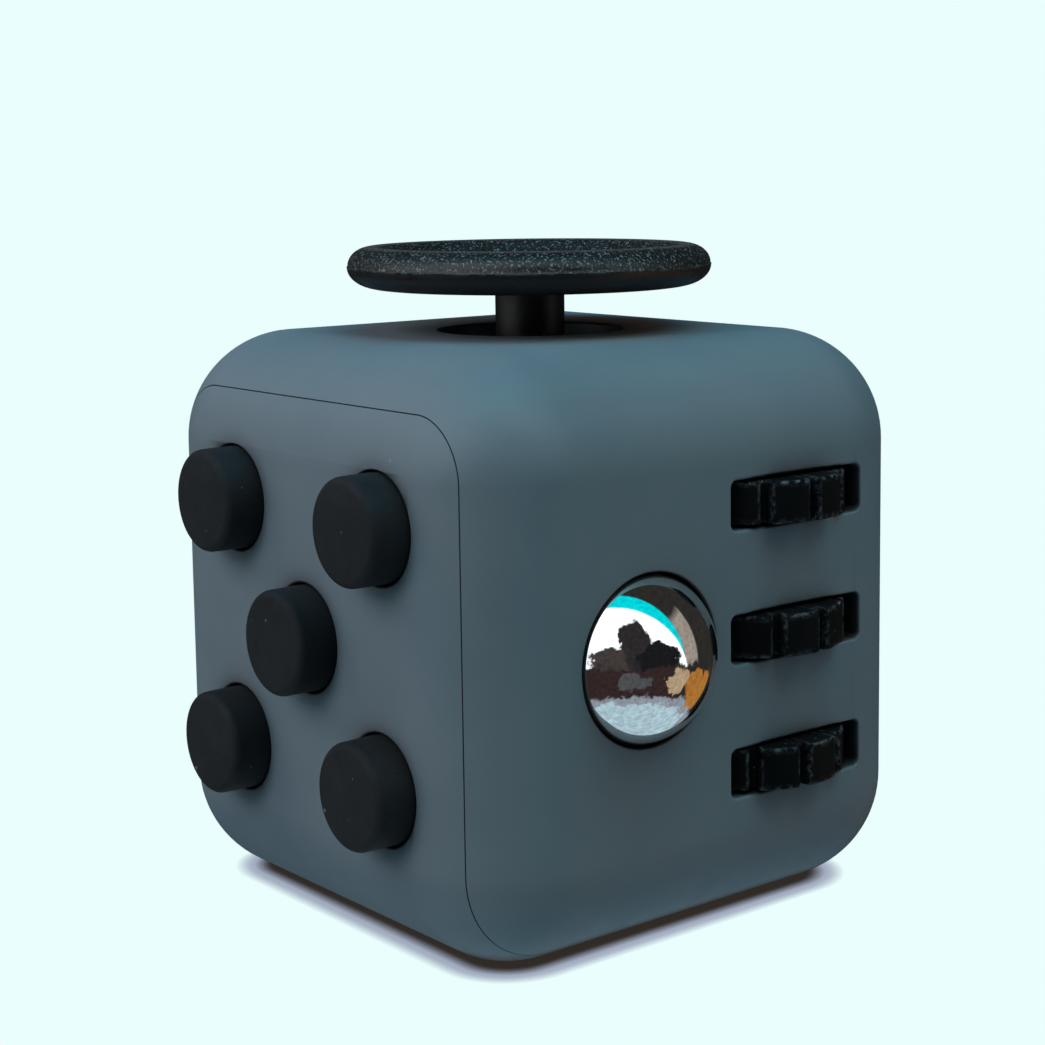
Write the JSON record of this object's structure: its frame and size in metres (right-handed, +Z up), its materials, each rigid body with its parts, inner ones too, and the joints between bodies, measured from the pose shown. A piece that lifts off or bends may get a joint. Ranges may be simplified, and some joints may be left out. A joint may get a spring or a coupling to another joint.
{
  "type": "fidget cube",
  "caption": "Six-sided rounded fidget toy with press buttons, rolling ball, notched wheels, gliding thumb disc, rocker, dial and thumb rest.",
  "frame": {"origin": "bottom centre of the object as it stands on its thumb-rest side", "axes": "+Z up through the thumb disc, -Y the side with five buttons, +X the side with the ball and three wheels, +Y the rocker, -X the dial"},
  "size_m": [0.0377, 0.0367, 0.038],
  "materials": {
    "body_plastic": "satin soft-touch, slate blue-grey",
    "button_rubber": "matt black",
    "wheel_plastic": "satin black, worn edges",
    "disc_plastic": "fine textured black",
    "switch_plastic": "satin black",
    "chrome": "mirror polished",
    "steel": "plain",
    "inner_plastic": "plain",
    "silicone": "translucent grey"
  },
  "bodies": {
    "body": {"ball_spring": "steel", "button_plate": "inner_plastic", "button_plate_screw_1": "steel", "button_plate_screw_2": "steel", "button_plate_screw_3": "steel", "button_plate_screw_4": "steel", "centring_ring": "silicone", "dial_click_spring": "steel", "dial_housing": "inner_plastic", "dial_housing_screw_1": "steel", "dial_housing_screw_2": "steel", "dial_housing_screw_3": "steel", "dial_housing_screw_4": "steel", "joystick_base": "inner_plastic", "joystick_base_screw_1": "steel", "joystick_base_screw_2": "steel", "joystick_base_screw_3": "steel", "joystick_base_screw_4": "steel", "lower_shell": "body_plastic", "rocker_frame": "inner_plastic", "rocker_frame_screw_1": "steel", "rocker_frame_screw_2": "steel", "rocker_leaf_spring": "steel", "rocker_pin": "steel", "roll_bracket": "inner_plastic", "roll_bracket_screw_1": "steel", "roll_bracket_screw_2": "steel", "roll_bracket_screw_3": "steel", "snap_dome_lower_right": "steel", "snap_dome_upper_left": "steel", "snap_dome_upper_right": "steel", "soft_pad_centre": "silicone", "soft_pad_lower_left": "silicone", "upper_shell": "body_plastic", "wheel_axle": "steel", "wheel_click_comb": "steel"},
    "press_upper_left": {"button_upper_left": "button_rubber"},
    "press_upper_right": {"button_upper_right": "button_rubber"},
    "press_centre": {"button_centre": "button_rubber"},
    "press_lower_left": {"button_lower_left": "button_rubber"},
    "press_lower_right": {"button_lower_right": "button_rubber"},
    "ball_carrier": {"ball_cup": "inner_plastic"},
    "ball": {"chrome_ball": "chrome"},
    "wheel_top": {"wheel_upper": "wheel_plastic"},
    "wheel_mid": {"wheel_middle": "wheel_plastic"},
    "wheel_bottom": {"wheel_lower": "wheel_plastic"},
    "glide_swivel": {"glide_carriage": "inner_plastic"},
    "thumb_disc": {"joystick_disc": "disc_plastic", "joystick_skirt": "inner_plastic", "joystick_screw": "steel"},
    "rocker_switch": {"rocker": "switch_plastic"},
    "dial_spinner": {"dial": "switch_plastic", "dial_click_ring": "inner_plastic", "dial_screw": "steel"}
  },
  "joints": [
    {"name": "button_upper_left_press", "type": "slide", "parent": "body", "child": "press_upper_left", "axis": [0, 1, 0], "range_m": [0, 0.0012], "stiffness_N_per_m": 900, "springref_m": -0.0004, "deforming": ["snap_dome_upper_left"]},
    {"name": "button_upper_right_press", "type": "slide", "parent": "body", "child": "press_upper_right", "axis": [0, 1, 0], "range_m": [0, 0.0012], "stiffness_N_per_m": 900, "springref_m": -0.0004, "deforming": ["snap_dome_upper_right"]},
    {"name": "button_lower_right_press", "type": "slide", "parent": "body", "child": "press_lower_right", "axis": [0, 1, 0], "range_m": [0, 0.0012], "stiffness_N_per_m": 900, "springref_m": -0.0004, "deforming": ["snap_dome_lower_right"]},
    {"name": "button_centre_press", "type": "slide", "parent": "body", "child": "press_centre", "axis": [0, 1, 0], "range_m": [0, 0.0012], "stiffness_N_per_m": 500, "springref_m": -0.0004, "deforming": ["soft_pad_centre"]},
    {"name": "button_lower_left_press", "type": "slide", "parent": "body", "child": "press_lower_left", "axis": [0, 1, 0], "range_m": [0, 0.0012], "stiffness_N_per_m": 500, "springref_m": -0.0004, "deforming": ["soft_pad_lower_left"]},
    {"name": "ball_click", "type": "slide", "parent": "body", "child": "ball_carrier", "axis": [-1, 0, 0], "range_m": [0, 0.0008], "stiffness_N_per_m": 1200, "springref_m": -0.0003, "deforming": ["ball_spring"]},
    {"name": "ball_roll", "type": "hinge", "parent": "ball_carrier", "child": "ball", "pos_m": [0.01435, -0.00526, 0.01665], "axis": [0, 0, 1], "continuous": true},
    {"name": "wheel_upper_spin", "type": "hinge", "parent": "body", "child": "wheel_top", "pos_m": [0.0126, 0.00575, 0.02419], "axis": [0, 0, 1], "continuous": true},
    {"name": "wheel_middle_spin", "type": "hinge", "parent": "body", "child": "wheel_mid", "pos_m": [0.0126, 0.00575, 0.01674], "axis": [0, 0, 1], "continuous": true},
    {"name": "wheel_lower_spin", "type": "hinge", "parent": "body", "child": "wheel_bottom", "pos_m": [0.0126, 0.00575, 0.00923], "axis": [0, 0, 1], "continuous": true},
    {"name": "glide_direction", "type": "hinge", "parent": "body", "child": "glide_swivel", "pos_m": [0, 0, 0.0284], "axis": [0, 0, 1], "continuous": true},
    {"name": "disc_glide", "type": "slide", "parent": "glide_swivel", "child": "thumb_disc", "axis": [1, 0, 0], "range_m": [0, 0.0026], "stiffness_N_per_m": 250, "springref_m": -0.0003, "deforming": ["centring_ring"]},
    {"name": "rocker_flip", "type": "hinge", "parent": "body", "child": "rocker_switch", "pos_m": [0, 0.0136, 0.0165], "axis": [1, 0, 0], "range_deg": [0, 16]},
    {"name": "dial_spin", "type": "hinge", "parent": "body", "child": "dial_spinner", "pos_m": [-0.0145, 0, 0.0165], "axis": [1, 0, 0], "continuous": true}
  ]
}
